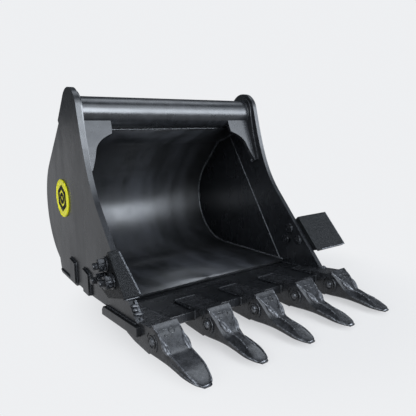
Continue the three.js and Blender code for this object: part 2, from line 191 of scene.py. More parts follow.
# ---------------------------------------------------------------- materials
class Nodes:
    """A short way to write a node tree."""

    def __init__(self, name):
        self.material = bpy.data.materials.new(name)
        self.material.use_nodes = True
        self.tree = self.material.node_tree
        self.shader = self.tree.nodes["Principled BSDF"]
        self.place = self.tree.nodes.new("ShaderNodeTexCoord").outputs["Object"]

    def node(self, kind, settings=None, **inputs):
        node = self.tree.nodes.new(kind)
        for key, value in (settings or {}).items():
            setattr(node, key, value)
        for key, value in inputs.items():
            self.put(node.inputs[key.replace("_", " ")], value)
        return node

    def put(self, socket, value):
        if isinstance(value, bpy.types.NodeSocket):
            self.tree.links.new(value, socket)
        else:
            socket.default_value = value

    def noise(self, scale, detail, roughness=0.55, stretch=None):
        place = self.place
        if stretch:
            place = self.node("ShaderNodeMapping", Vector=place, Scale=stretch).outputs[0]
        return self.node("ShaderNodeTexNoise", Vector=place, Scale=scale, Detail=detail,
                         Roughness=roughness).outputs["Fac"]

    def cells(self, scale):
        return self.node("ShaderNodeTexVoronoi", Vector=self.place, Scale=scale).outputs["Distance"]

    def remap(self, value, low, high, to_low, to_high):
        node = self.node("ShaderNodeMapRange", Value=value)
        for key, number in zip(("From Min", "From Max", "To Min", "To Max"), (low, high, to_low, to_high)):
            node.inputs[key].default_value = number
        return node.outputs["Result"]

    def add(self, a, b):
        node = self.node("ShaderNodeMath", {"operation": "ADD"})
        self.put(node.inputs[0], a)
        self.put(node.inputs[1], b)
        return node.outputs[0]

    def mix(self, fac, dark, light):
        node = self.node("ShaderNodeMix", {"data_type": "RGBA"})
        for socket, value in ((0, fac), (6, (*dark, 1)), (7, (*light, 1))):
            self.put(node.inputs[socket], value)
        return node.outputs[2]

    def blend(self, value, low, high, dark, light):
        """A colour that is `dark` up to `low` and `light` from `high`."""
        return self.mix(self.remap(value, low, high, 0, 1), dark, light)

    def bump(self, height, strength, distance, under=None):
        node = self.node("ShaderNodeBump", Height=height, Strength=strength, Distance=distance)
        if under:
            self.tree.links.new(under, node.inputs["Normal"])
        return node.outputs[0]

    def set(self, **inputs):
        for key, value in inputs.items():
            self.put(self.shader.inputs[key.replace("_", " ")], value)


def paint_material():
    """Semi-gloss black paint over mill plate: slow waviness, upright smears, fine orange peel and grime."""
    n = Nodes("black_paint")
    broad, cloudy = n.noise(5, 4), n.noise(28, 5, 0.6)
    smears = n.noise(9, 5, 0.6, (1, 1, 0.16))
    wave = n.bump(smears, 0.12, 0.003, n.bump(n.noise(7, 2), 0.35, 0.006))
    n.set(Base_Color=n.blend(cloudy, 0.4, 0.75, (0.0075, 0.008, 0.009), (0.015, 0.016, 0.018)),
          Roughness=n.add(n.remap(broad, 0.3, 0.7, 0.20, 0.27), n.remap(smears, 0.35, 0.7, 0, 0.10)),
          Normal=n.bump(n.noise(520, 2), 0.06, 0.0006, wave), Specular_IOR_Level=0.6)
    return n.material


def inside_paint_and_sheen_material():
    """The same paint inside the bowl, rougher and a little lighter, the lighter colour partly a painted
    sheen: drawn round the curve, so what it mirrors is smeared sideways.
    """
    n = Nodes("inside_paint_and_sheen")
    smears, blots = n.noise(6, 6, 0.62, (1.6, 0.5, 0.25)), n.noise(11, 4)
    wave = n.bump(n.noise(5, 2, 0.5, (1, 1, 0.5)), 0.35, 0.008)
    around = n.node("ShaderNodeTangent", {"direction_type": "RADIAL", "axis": "X"}).outputs[0]
    # the lighter, streaked end of this colour is partly the bowl's sheen painted into it
    n.set(Base_Color=n.blend(smears, 0.4, 0.7, (0.006, 0.0065, 0.007), (0.022, 0.023, 0.026)),
          Roughness=n.add(n.remap(smears, 0.35, 0.65, 0.42, 0.52), n.remap(blots, 0.4, 0.7, 0, 0.08)),
          Normal=n.bump(n.noise(520, 2), 0.06, 0.0006, wave), Specular_IOR_Level=1.0,
          Anisotropic=0.85, Anisotropic_Rotation=0.25, Tangent=around)
    return n.material


def cast_material():
    """Painted casting: a sand-cast skin of fine grain and shallow pits under black paint."""
    n = Nodes("cast_steel")
    grain = n.bump(n.noise(300, 4, 0.65), 0.2, 0.001, n.bump(n.noise(26, 2), 0.3, 0.005))
    n.set(Base_Color=n.blend(n.noise(40, 4), 0.35, 0.7, (0.009, 0.0095, 0.0105), (0.030, 0.031, 0.034)),
          Roughness=n.remap(n.noise(70, 4), 0.3, 0.7, 0.21, 0.33),
          Normal=n.bump(n.cells(190), 0.1, 0.001, grain), Specular_IOR_Level=0.6)
    return n.material


def rough_cast_material():
    """The side cutters' coarse sand-cast skin."""
    n = Nodes("rough_cast")
    lumps, grain = n.noise(60, 3), n.noise(170, 4, 0.75)
    n.set(Base_Color=n.blend(grain, 0.5, 0.68, (0.003, 0.0035, 0.004), (0.018, 0.019, 0.020)),
          Roughness=n.remap(grain, 0.4, 0.65, 0.5, 0.22),
          Normal=n.bump(grain, 0.9, 0.006, n.bump(lumps, 0.5, 0.006)), Specular_IOR_Level=0.22)
    return n.material


def weld_material():
    """Weld beads under the same black paint, which lies glossier on them."""
    n = Nodes("weld_paint")
    tone = n.noise(90, 3)
    n.set(Base_Color=n.blend(tone, 0.35, 0.7, (0.014, 0.015, 0.017), (0.028, 0.03, 0.033)),
          Roughness=n.remap(tone, 0.3, 0.7, 0.2, 0.34), Normal=n.bump(n.noise(420, 3), 0.2, 0.001))
    return n.material


def worn_and_highlight_material():
    """Cast edges and pins where the paint is rubbed thin and the metal shines through; their light colour is
    partly a painted highlight.
    """
    n = Nodes("worn_cast_and_highlight")
    tone = n.noise(130, 4, 0.65)
    # the light end of this colour is bare metal and, partly, a painted highlight
    n.set(Base_Color=n.blend(tone, 0.4, 0.65, (0.025, 0.026, 0.028), (0.22, 0.225, 0.24)),
          Metallic=0.4, Roughness=n.remap(tone, 0.35, 0.65, 0.34, 0.18),
          Normal=n.bump(n.noise(380, 3), 0.15, 0.001), Specular_IOR_Level=0.8)
    return n.material


def bare_weld_and_highlight_material():
    """Fresh runs with thin paint, where grey metal shows on the scales; their light colour is partly a
    painted highlight.
    """
    n = Nodes("bare_weld_and_highlight")
    tone = n.noise(160, 3)
    # the light end of this colour is bare metal and, partly, a painted highlight along the beads
    n.set(Base_Color=n.blend(tone, 0.35, 0.65, (0.03, 0.032, 0.035), (0.16, 0.165, 0.175)),
          Metallic=0.35, Roughness=n.remap(tone, 0.3, 0.7, 0.2, 0.38),
          Normal=n.bump(n.noise(420, 3), 0.25, 0.001))
    return n.material


def steel_material():
    """Blackened bolt steel with a worn sheen."""
    n = Nodes("fastener_steel")
    n.set(Base_Color=n.blend(n.noise(120, 4), 0.45, 0.7, (0.008, 0.0085, 0.0095), (0.06, 0.062, 0.067)),
          Metallic=0.35, Roughness=n.remap(n.noise(60, 3), 0.3, 0.7, 0.16, 0.26),
          Normal=n.bump(n.noise(700, 3), 0.08, 0.0006))
    return n.material


def ink_material():
    """Matt black print on the badge."""
    n = Nodes("badge_ink")
    tone = n.noise(60, 3)
    n.set(Base_Color=n.mix(tone, (0.004, 0.004, 0.004), (0.012, 0.012, 0.012)),
          Roughness=n.remap(tone, 0.3, 0.7, 0.5, 0.7), Specular_IOR_Level=0.15,
          Normal=n.bump(n.noise(300, 2), 0.1, 0.0006))
    return n.material


def bronze_material():
    """Bronze bushes with fine turning marks."""
    n = Nodes("bush_bronze")
    tone = n.noise(45, 4)
    n.set(Base_Color=n.blend(tone, 0.35, 0.7, (0.36, 0.22, 0.10), (0.55, 0.37, 0.19)),
          Metallic=1.0, Roughness=n.remap(tone, 0.3, 0.7, 0.25, 0.42),
          Normal=n.bump(n.noise(60, 2, 0.5, (18, 1, 1)), 0.12, 0.0006))
    return n.material


def badge_material():
    """The badge's bright yellow enamel."""
    n = Nodes("badge_yellow")
    tone = n.noise(22, 3)
    n.set(Base_Color=n.blend(tone, 0.35, 0.7, (0.93, 0.86, 0.012), (0.97, 0.92, 0.02)),
          Roughness=n.remap(tone, 0.3, 0.7, 0.3, 0.42), Normal=n.bump(n.noise(500, 2), 0.04, 0.0006))
    return n.material


# Record slots and their materials, then the materials that some pieces of a slot have instead.
PAINT, CAST, STEEL = "black_paint", "cast_steel", "fastener_steel"
BRONZE, YELLOW = "bush_bronze", "badge_yellow"
MATERIALS = {PAINT: paint_material(), CAST: cast_material(), STEEL: steel_material(),
             BRONZE: bronze_material(), YELLOW: badge_material()}
ROUGH_CAST, INSIDE = rough_cast_material(), inside_paint_and_sheen_material()
WELD, BARE_WELD_AND_HIGHLIGHT, INK, WORN_AND_HIGHLIGHT = weld_material(), bare_weld_and_highlight_material(), ink_material(), worn_and_highlight_material()
LOOKS = {"side_cutter_left": ROUGH_CAST, "side_cutter_right": ROUGH_CAST, "wrapper": INSIDE}


# ---------------------------------------------------------------- the CAD nodes that stay
JOIN_WITHIN = 0.00002                                  # m
BEVEL_STEPS, BEVEL_OVER = 2, math.radians(28)          # edges sharper than this are rounded
FLAT_WEIGHT = 80                                       # how much flat faces pull the normals beside them
# m: how wide the edges of some CAD nodes are rounded, by how their names start
EDGES = {"side_bar": 0.002, "cheek": 0.0015, "torsion": 0.001, "lip": 0.002, "side_cutter": 0.003}
PLAIN_EDGE, TOOTH_EDGE = 0.0015, 0.0012


def joined_smooth():
    """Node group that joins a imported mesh's loose triangles and shades it smooth."""
    tree = bpy.data.node_groups.new("joined_smooth", "GeometryNodeTree")
    for side in ("INPUT", "OUTPUT"):
        tree.interface.new_socket("Geometry", in_out=side, socket_type="NodeSocketGeometry")
    start, end = tree.nodes.new("NodeGroupInput"), tree.nodes.new("NodeGroupOutput")
    merge = tree.nodes.new("GeometryNodeMergeByDistance")
    merge.inputs["Distance"].default_value = JOIN_WITHIN
    smooth = tree.nodes.new("GeometryNodeSetShadeSmooth")
    for a, b in ((start, merge), (merge, smooth), (smooth, end)):
        tree.links.new(a.outputs[0], b.inputs[0])
    return tree


def finish_edges(obj, width):
    """Rounds the sharp edges of a piece, and keeps its flat faces flat."""
    bevel = obj.modifiers.new("edges", "BEVEL")
    bevel.width, bevel.segments, bevel.limit_method = width, BEVEL_STEPS, "ANGLE"
    bevel.angle_limit, bevel.use_clamp_overlap = BEVEL_OVER, True
    normals = obj.modifiers.new("normals", "WEIGHTED_NORMAL")
    normals.weight, normals.keep_sharp = FLAT_WEIGHT, False


JOINED = joined_smooth()
slots = {row["node"]: row["material_slot"] for row in frame["record"]["subparts"]}
for name, obj in frame["nodes"].items():
    group = obj.modifiers.new("join", "NODES")
    group.node_group = JOINED
    if name != "wrapper":       # a bevel would leave specks on its narrow facets
        widths = (width for start, width in EDGES.items() if name.startswith(start))
        finish_edges(obj, next(widths, PLAIN_EDGE))
    obj.data.materials.clear()
    obj.data.materials.append(LOOKS.get(name, MATERIALS[slots[name]]))


# ---------------------------------------------------------------- making pieces
BUCKET = "bucket"
HALF, INNER = 525, 501            # mm from the middle: the outer and the inner face of a side bar
CHEEK_OUT = 519                   # the outer face of a cheek plate
SHEET_HALF = INNER - 0.4          # half the wrapper's width
TUBE, TUBE_R = (690, 861), 75.5   # the torsion tube's axis, as (y, z), and its radius
AWRY = Vector((0.31, 0.44, 0.84))     # a direction that no run follows, to steady the rings of its skin
RUN_STEP = 3                      # mm between the rings of a plain run


def closed_mesh(name, points, faces):
    """A mesh from points in mm, with its faces turned outwards."""
    mesh = bpy.data.meshes.new(name)
    mesh.from_pydata([at(*p) for p in points], [], faces)
    work = bmesh.new()
    work.from_mesh(mesh)
    bmesh.ops.recalc_face_normals(work, faces=work.faces)
    work.to_mesh(mesh)
    work.free()
    return mesh


def piece(name, points, faces, slot, body=BUCKET, smooth=True, material=None):
    """A closed mesh on a CAD body, with its record slot's material or another one."""
    mesh = closed_mesh(name, points, faces)
    if smooth:
        mesh.shade_smooth()
    else:
        mesh.shade_flat()
    obj = bpy.data.objects.new(name, mesh)
    scene.collection.objects.link(obj)
    obj.data.materials.append(material or MATERIALS[slot])
    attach(obj, body)
    return obj


def keep_corners(obj, angle):
    """Smooth faces with sharp corners where they meet at more than `angle` degrees."""
    obj.data.set_sharp_from_angle(angle=math.radians(angle))


def skin(rings, closed=False):
    """Points and faces of a body whose cross-sections are rings of equal length; its ends are capped."""
    count, n = len(rings), len(rings[0])
    points = [p for ring in rings for p in ring]
    faces = []
    for i in range(count if closed else count - 1):
        a, b = i * n, (i + 1) % count * n
        faces += [(a + k, a + (k + 1) % n, b + (k + 1) % n, b + k) for k in range(n)]
    if not closed:
        faces += [tuple(range(n)), tuple(range((count - 1) * n, count * n))]
    return points, faces


def together(bodies):
    """Several (points, faces) bodies as one."""
    points, faces = [], []
    for some_points, some_faces in bodies:
        shift = len(points)
        points += some_points
        faces += [tuple(i + shift for i in face) for face in some_faces]
    return points, faces


def walk(path, step):
    """Points spaced evenly along a path of corners."""
    path = [Vector(p) for p in path]
    out = [path[0]]
    for a, b in zip(path, path[1:]):
        count = max(1, round((b - a).length / step))
        out += [a.lerp(b, (i + 1) / count) for i in range(count)]
    return out


def arc(centre, r, start, end, x, count):
    """Points round a circle in a plane of constant x; angles in degrees from +y towards +z."""
    angles = [math.radians(start + (end - start) * i / count) for i in range(count + 1)]
    return [(x, centre[0] + r * math.cos(a), centre[1] + r * math.sin(a)) for a in angles]


def round_ring(spot, forward, r, sides):
    """A ring of points round a run, square to the way it goes."""
    across = forward.cross(AWRY).normalized()
    up = across.cross(forward)
    turns = [2 * math.pi * k / sides for k in range(sides)]
    return [tuple(spot + r * (math.cos(t) * across + math.sin(t) * up)) for t in turns]


def plain_run(path, r, sides=6, swell=0):
    """A smooth round run along a path, for cast ridges; `swell` mm thicker in its middle."""
    spots = walk(path, RUN_STEP)
    last = len(spots) - 1
    rings = []
    for i, spot in enumerate(spots):
        forward = (spots[min(i + 1, last)] - spots[max(i - 1, 0)]).normalized()
        rings.append(round_ring(spot, forward, r + swell * math.sin(math.pi * i / last), sides))
    return skin(rings)


def spun(profile, at_yz, s, radius=None, sides=36, middle=0, closed=False):
    """A body turned round an axis across the bucket; `radius` shapes a ring's radius by its angle."""
    rings = []
    for x, r in profile:
        ring = []
        for k in range(sides):
            turn = 2 * math.pi * k / sides
            reach = radius(turn, r) if radius else r
            ring.append((middle + s * x, at_yz[0] + reach * math.cos(turn),
                         at_yz[1] + reach * math.sin(turn)))
        rings.append(ring)
    return skin(rings, closed)


# ---------------------------------------------------------------- weld beads
RIPPLE, BEAD_SIDES = 4.2, 8            # mm between a bead's scales, and the corners of its rings
WIDE, NARROW = 1.08, 0.90              # a scale's radius at its crest and at its foot
UNEVEN = (0.95, 1.05)                  # the range of a ring's random share of its radius
END_SIZE, END_RINGS = 0.45, 5          # how thin a bead's ends are, and how fast they reach the full size
dice = random.Random(7)


def bead(path, r, closed=False):
    """A weld bead: a round run along a path, with overlapping scales and a slightly uneven width."""
    spots = walk(path, RIPPLE / 2)
    if closed:
        spots = spots[:-1]
    last = len(spots) - 1
    rings = []
    for i, spot in enumerate(spots):
        before = spots[i - 1 if i or closed else 0]
        after = spots[(i + 1) % len(spots) if i < last or closed else i]
        end = 1 if closed else min(1, END_SIZE + min(i, last - i) / END_RINGS)
        radius = r * end * (WIDE if i % 2 else NARROW) * dice.uniform(*UNEVEN)
        rings.append(round_ring(spot, (after - before).normalized(), radius, BEAD_SIDES))
    return skin(rings, closed)


def weld(name, paths, r, closed=False, material=WELD):
    """One piece of weld beads along several paths."""
    piece(name, *together([bead(path, r, closed) for path in paths]), PAINT, material=material)


def both_sides(make):
    """The paths that `make` gives for the left and for the right side of the bucket."""
    return [path for _, s in SIDES for path in make(s)]


def sides_at(x, *spots):
    """One path on each side, `x` mm from the bucket's middle, through (y, z) spots."""
    return both_sides(lambda s: [[(s * x, y, z) for y, z in spots]])


# ---------------------------------------------------------------- welds of the shell
TUBE_END, TUBE_REACH = 489, 486        # mm from the middle: the tube's end, and the end of its long beads
TUBE_SEATS = ((704, 784), (691, 781))  # (y, z) where the tube meets the wrapper, behind and in front
SEAM = ((866, 826), (320, 52))         # from top to foot: where a side bar meets its cheek plate, outside
SEAM_INSIDE = ((862, 818), (322, 56))
SEAM_SUNK = 0.5                        # how far the inside bead's line lies off the bar's inner face
LIP_REACH, LIP_SEAM = 498, (305, 62)   # where the wrapper meets the lip plate

# The wrapper's inner face: top front edge, the crease below it, the heel's bend and the foot on the lip.
HEEL, HEEL_R, SHELL_T = (862, 330), 290, 14
SHEET_TOP, SHEET_CREASE, SHEET_FOOT = (700, 772), (927, 688), (306, 66)


def touch(y, z, r, side):
    """The angle, seen from the heel's middle, at which a line from (y, z) touches a circle round it."""
    dy, dz = y - HEEL[0], z - HEEL[1]
    return math.degrees(math.atan2(dz, dy) + side * math.acos(r / math.hypot(dy, dz)))


def sheet_path(out, x):
    """Along the wrapper, `out` mm outside its inner face, from its top front edge down to the lip."""
    heel = HEEL_R + out
    top = (SHEET_TOP[0] + 0.35 * out, SHEET_TOP[1] + 0.94 * out)
    crease = (SHEET_CREASE[0] + 0.72 * out, SHEET_CREASE[1] + 1.02 * out)
    foot = (SHEET_FOOT[0], SHEET_FOOT[1] - out)
    bend = arc(HEEL, heel, touch(*crease, heel, -1), touch(*foot, heel, 1), x, 40)
    return [(x, *top), (x, *crease), *bend, (x, *foot)]


def bar_on_lip(s):
    """Round a side bar's foot on the lip plate: outside, inside and in front."""
    return [[(s * (HALF + 1), 36, 80), (s * (HALF + 1), 318, 48)],
            [(s * (INNER - 1), 30, 81), (s * (INNER - 1), 300, 50)],
            [(s * (INNER + 2), 32, 82), (s * (HALF - 2), 32, 82)]]


weld("weld_tube_end", [arc(TUBE, TUBE_R, 0, 360, s * TUBE_END, 60) for _, s in SIDES], 5, True)
weld("weld_tube_wrapper", [[(-TUBE_REACH, *seat), (TUBE_REACH, *seat)] for seat in TUBE_SEATS], 4.5)
weld("weld_seam", sides_at(CHEEK_OUT, *SEAM), 4.5)
# The inside beads' light colour is partly a painted highlight along them.
weld("weld_seam_inside", sides_at(INNER - SEAM_SUNK, *SEAM_INSIDE), 3, material=BARE_WELD_AND_HIGHLIGHT)
weld("weld_sheet_inside", both_sides(lambda s: [sheet_path(-2, s * (SHEET_HALF - 1))]), 5,
     material=BARE_WELD_AND_HIGHLIGHT)
weld("weld_sheet_outside", both_sides(lambda s: [sheet_path(SHELL_T + 1, s * (SHEET_HALF - 1))]), 5)
weld("weld_lip_sheet", [[(-LIP_REACH, *LIP_SEAM), (LIP_REACH, *LIP_SEAM)]], 3, material=ROUGH_CAST)
weld("weld_bar_lip", both_sides(bar_on_lip), 5.5)


# ---------------------------------------------------------------- welds of the gussets and the bars' feet
GUSSET_AT, GUSSET_LEAN = (635, 800), 0.4    # (y, z) on a gusset's front face, and y per mm of height
GUSSET_FROM, GUSSET_TO = 352, 486           # mm from the middle: its inner end, and its seam on the side bar


def gusset_spot(x, z, off=0):
    """A point at height z, `off` mm in front of a gusset's face."""
    return (x, GUSSET_AT[0] + GUSSET_LEAN * (z - GUSSET_AT[1]) - off, z)


def gusset_top(s):
    """Along a gusset's upper edge, sagging a little in its middle."""
    x, y, _ = gusset_spot(s * 420, 800, 2)
    return [[gusset_spot(s * GUSSET_FROM, 803), (x, y, 799), gusset_spot(s * GUSSET_TO, 806)]]


def gusset_tip(s):
    """Round a gusset's lower tip, on the side bar."""
    x, y, _ = gusset_spot(s * 484, 596, -20)
    return [[gusset_spot(s * 484, 606), (x, y, 592)]]


def bar_foot(s):
    """Round the lowest front end of a side bar."""
    inner, outer = s * (INNER + 4), s * (HALF - 4)
    return [[(inner, 42, 96), (inner, 22, 90), (outer, 22, 90), (outer, 42, 96)]]


# These beads' light colour is partly a painted highlight, for the glints along them.
weld("weld_gusset_top", both_sides(gusset_top), 11, material=BARE_WELD_AND_HIGHLIGHT)
weld("weld_gusset_side", both_sides(lambda s: [
    [gusset_spot(s * (GUSSET_TO + 1), 806), gusset_spot(s * (GUSSET_TO + 1), 604)]]), 6,
     material=BARE_WELD_AND_HIGHLIGHT)
weld("weld_gusset_tip", both_sides(gusset_tip), 9, material=BARE_WELD_AND_HIGHLIGHT)
weld("weld_bar_foot", both_sides(bar_foot), 7, material=BARE_WELD_AND_HIGHLIGHT)


# ---------------------------------------------------------------- side cutters
BAR_FOOT, SLANT = (33, 88), math.radians(45.9)  # a side bar's front edge: (y, z) at its foot, and slope
CUTTER_FROM, CUTTER_TO = 95, 303                # mm along that edge
WING_FROM, WING_TO, WING_FACE = 560, 742, 18    # across the bucket, and in front of the bar's edge
LUMPS = ((32, 12), (50, -3), (66, 6))           # on the left bar: how far up it is, and how far in it ends


def cutter_at(x, along, off):
    """A point `along` a side bar's front edge and `off` in front of it."""
    return (x, BAR_FOOT[0] + along * math.cos(SLANT) - off * math.sin(SLANT),
            BAR_FOOT[1] + along * math.sin(SLANT) + off * math.cos(SLANT))


# The light beads here are partly a painted highlight along the cap's inner edge and the bar's inner foot.
weld("weld_cap_edge", [[cutter_at(-INNER + 24, CUTTER_FROM + 4, 9), cutter_at(-INNER, CUTTER_TO - 4, 9)]], 6,
     material=BARE_WELD_AND_HIGHLIGHT)
weld("weld_bar_front", [[cutter_at(-HALF + 2, along, 1), cutter_at(-INNER + reach, along - 8, 1)]
                        for along, reach in LUMPS], 8)
weld("weld_bar_inner", [[cutter_at(-INNER + 2, 20, 1), cutter_at(-INNER, CUTTER_FROM - 8, 1)]], 6,
     material=BARE_WELD_AND_HIGHLIGHT)
weld("weld_cap_foot", [[cutter_at(x, CUTTER_FROM - 3, 6) for x in (-HALF - 16, -INNER + 20)]], 4)


# ---------------------------------------------------------------- welds of the adapters, ears and pads
TOOTH_PITCH, TOOTH_COUNT = 236, 5
TEETH = [(i + 1, (i - 2) * TOOTH_PITCH) for i in range(TOOTH_COUNT)]
ADAPTER_HALF, ADAPTER_FRONT, ADAPTER_REAR = 53, (30, 84), (158, 70)  # its edge on the lip plate, as (y, z)
OUTER_ADAPTER = (418, 494)             # mm from the middle: its inner flank, and its rear's outer end
ADAPTER_ROOT, ROOT_FRONT = 50, ((-1, 86), (-2, 46))  # beads down the lip's front edge, at the flanks
EAR_FACES, EAR_FRONT = (155, 185), (782, 757)        # mm from the middle, and (y, z) where their beads start
EAR_BORES = {"stick": (880, 850), "link": (1188, 574)}
BOSS_FACE, BOSS_R = 187, 71
PAD_FRONTS = (727, 533)                # y of the wear pads' front edges
STRIP = ((724, 15), (996, 16))         # along the top of a heel strip


def adapter_edge(x):
    """Round an adapter on the lip plate: along one flank, across its rear and back along the other."""
    left, right = x - ADAPTER_HALF, x + ADAPTER_HALF
    return [(left, *ADAPTER_FRONT), (left, *ADAPTER_REAR), (right, *ADAPTER_REAR), (right, *ADAPTER_FRONT)]


def outer_adapter_edge(s):
    """The same for the first or the last adapter, whose outer flank is hidden by the side bar."""
    near, far = OUTER_ADAPTER
    return [[(s * near, *ADAPTER_FRONT), (s * near, *ADAPTER_REAR), (s * far, *ADAPTER_REAR)]]


def ear_edges(s):
    """Down both faces of an ear, from the tube over the wrapper's crease and part of the heel."""
    runs = []
    for x in EAR_FACES:
        over_sheet = [p for p in sheet_path(SHELL_T, s * x) if p[1] > 800 and p[2] > 400]
        runs.append([(s * x, *EAR_FRONT), *over_sheet])
    return runs


def pad_edges(s):
    """Round the wear pads on a cheek plate, with a chamfer at each pad's upper front corner."""
    x = s * (CHEEK_OUT + 1)
    edge = ((-1, 18), (0, 116), (4, 125), (76, 135), (76, 18))
    return [[(x, front + y, z) for y, z in edge] for front in PAD_FRONTS]


weld("weld_adapter", [adapter_edge(x) for _, x in TEETH[1:-1]], 4)
weld("weld_adapter_outer", both_sides(outer_adapter_edge), 4)
weld("weld_adapter_root", [[(x - ADAPTER_ROOT, *spot) for spot in ROOT_FRONT] for _, x in TEETH[1:]]
     + [[(x + ADAPTER_ROOT, *spot) for spot in ROOT_FRONT] for _, x in TEETH[:-1]], 6)
weld("weld_ear", both_sides(ear_edges), 7)
for pin, bore in EAR_BORES.items():
    weld(f"weld_{pin}_boss", [arc(bore, BOSS_R, 0, 360, s * BOSS_FACE, 48) for _, s in SIDES], 5, True)
weld("weld_pad", both_sides(pad_edges), 4.5)
weld("weld_heel_strip", sides_at(CHEEK_OUT + 2, *STRIP), 5)


# ---------------------------------------------------------------- bolts, nuts and washers
CUTTER_BOLTS = ((260, 255), (282, 188), (196, 203))
HEAD_SEAT = INNER - 0.4            # mm from the middle: a bolt head's seat inside the bar
SEAT, NUT_GAP = HALF + 20.8, 7.8   # the outer face of a side cutter's flange, and a nut's distance from it
# Profiles as (distance from the seat, radius).
HEAD = ((0, 24), (-1.5, 27.5), (-9, 27.5), (-12.5, 26), (-15, 22.5))
WASHER = ((0, 16), (0, 32), (1.2, 33), (6, 33), (7.4, 31.5), (7.4, 16))
NUT = ((0, 16), (0, 26), (3, 29), (26, 29), (28.5, 27.4), (30, 24.8), (30, 16))
HEAD_FLAT, NUT_FLAT, HEX_TURN = 23.8, 25.2, 0.4
BOLT_R, SHANK_FROM, SHANK_TO = 15, INNER - 3, 569
THREAD_R, THREAD_FROM, THREAD_TO, THREAD_PITCH, THREAD_DEPTH = 14.9, 568, 604, 3.5, 1.1
THREAD_SIDES, TIP, TIP_SLOPE = 24, 4, 0.6
BOLT_CORNER = 32                   # degrees


def hexagon(flat):
    """A ring's radius on a hexagon `flat` mm from its middle to its sides, cut down to the ring's own."""
    return lambda turn, r: min(r, flat / math.cos((turn + HEX_TURN) % (math.pi / 3) - math.pi / 6))


def thread(at_yz, s):
    """A bolt's threaded end: a ridge that climbs as it turns, and a chamfered tip."""
    rings, steps = [], round((THREAD_TO - THREAD_FROM) / THREAD_PITCH * 4)
    for i in range(steps + 1):
        x = THREAD_FROM + (THREAD_TO - THREAD_FROM) * i / steps
        chamfer = max(0, x - THREAD_TO + TIP) * TIP_SLOPE
        ring = []
        for k in range(THREAD_SIDES):
            phase = (x / THREAD_PITCH + k / THREAD_SIDES) % 1
            reach = THREAD_R - chamfer - THREAD_DEPTH * abs(2 * phase - 1)
            turn = 2 * math.pi * k / THREAD_SIDES
            ring.append((s * x, at_yz[0] + reach * math.cos(turn), at_yz[1] + reach * math.sin(turn)))
        rings.append(ring)
    return skin(rings)


def seated(profile, seat):
    """A profile moved to its seat across the bucket."""
    return [(seat + x, r) for x, r in profile]


for side, s in SIDES:
    for i, spot in enumerate(CUTTER_BOLTS, 1):
        head = spun(seated(HEAD, HEAD_SEAT), spot, s, hexagon(HEAD_FLAT))
        shank = spun([(SHANK_FROM, BOLT_R), (SHANK_TO, BOLT_R)], spot, s, sides=24)
        bolt = piece(f"bolt_{i}_{side}", *together([head, shank, thread(spot, s)]), STEEL)
        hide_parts(f"cutter_bolt_{i}_{side}")
        washer = spun(seated(WASHER, SEAT), spot, s, closed=True)
        hexed = spun(seated(NUT, SEAT + NUT_GAP), spot, s, hexagon(NUT_FLAT), closed=True)
        nut = piece(f"nut_{i}_{side}", *together([washer, hexed]), STEEL)
        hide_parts(f"cutter_nut_{i}_{side}")
        for obj in (bolt, nut):
            keep_corners(obj, BOLT_CORNER)


# ---------------------------------------------------------------- teeth
TOOTH_HALF, TOOTH_REAR, TOOTH_TIP = 51.5, -66, -358
SQUARE_FROM = -122                 # y: in front of it a tooth's sections are square to its length
PIN, PIN_R, PIN_HOLE_R = (-84, 60), 15.8, 16.5
EAR_R, EAR_RISE = 34, 30           # how far a tooth's rear end reaches round its pin, and in what height
PANEL_Z, PANEL_FOOT = 90, (-72, 92)   # the height above which its rear end leans, and (y, z) on that slope
PANEL_RUN, PANEL_RISE = 14, 30
BLADE_FROM, BLADE_RAMP = -160, 60  # where a blade's hollows start, and how soon they reach their full depth
SPADE_HOLLOW, POINT_HOLLOW = (1.0, 2.0), (3.2, 1.2)    # of the chamfers and of the flat top
SPADE = 1                          # the number of the tooth with a broad blade; the rest have a ridged point

# Keys along a tooth, as (y, value): the heights of its top and its bottom, half its width, how much of that
# is flat on top, and how high on its flanks the chamfers to the top start.
TOP = ((-66, 126), (-98, 117), (-130, 101), (-165, 77), (-190, 61), (-220, 57), (-280, 46), (-335, 26),
       (-358, 21))
BOTTOM = ((-66, 5), (-120, 11), (-180, 16), (-250, 18), (-358, 15))
SPADE_HALF = ((-66, 51.5), (-100, 50.5), (-200, 46.5), (-270, 46), (-292, 43), (-316, 38), (-336, 31),
              (-358, 15))
POINT_HALF = ((-66, 51.5), (-100, 50), (-140, 44), (-200, 40), (-270, 41.5), (-300, 40), (-336, 29),
              (-358, 14))
SPADE_FLAT = ((-66, 0.94), (-358, 0.88))
POINT_FLAT = ((-66, 0.94), (-125, 0.86), (-165, 0.62), (-200, 0.36), (-250, 0.30), (-300, 0.55),
              (-335, 0.84), (-358, 0.85))
SHOULDER = ((-66, 0.94), (-110, 0.92), (-150, 0.74), (-200, 0.50), (-310, 0.52), (-345, 0.75), (-358, 0.8))

# The socket inside a tooth, as (y, half width, lowest z, highest z).
NOSE_ROOM = ((-30, 37.3, 15, 102), (-100, 31.7, 19, 92.5), (-190.5, 24.5, 27.5, 52.5))
# One end of a pin, as (distance from its middle, radius).
DOME = ((58, 3), (57, 7), (55, 11), (52.5, 14), (49.5, PIN_R))
PIN_CORNER, RIDGE_CORNER = 25, 50  # degrees
RIDGE_R, RIDGE_SIDES, RIDGE_SUNK = 3.1, 8, 1.5
RIDGE_SPOTS = range(-92, -350, -6)     # y along a tooth; below, the y where some of its ridges start or end
POINT_RIDGE_END, BLADE_EDGE_FROM, KNOB_FROM, KNOB_TO = -286, -200, -128, -206


def eased(keys, y):
    """The value at y of a run of (y, value) keys, with its corners rounded off."""
    ys, values = zip(*sorted(keys))
    return float(np.mean(np.interp([y + d for d in (-9, -6, -3, 0, 3, 6, 9)], ys, values)))


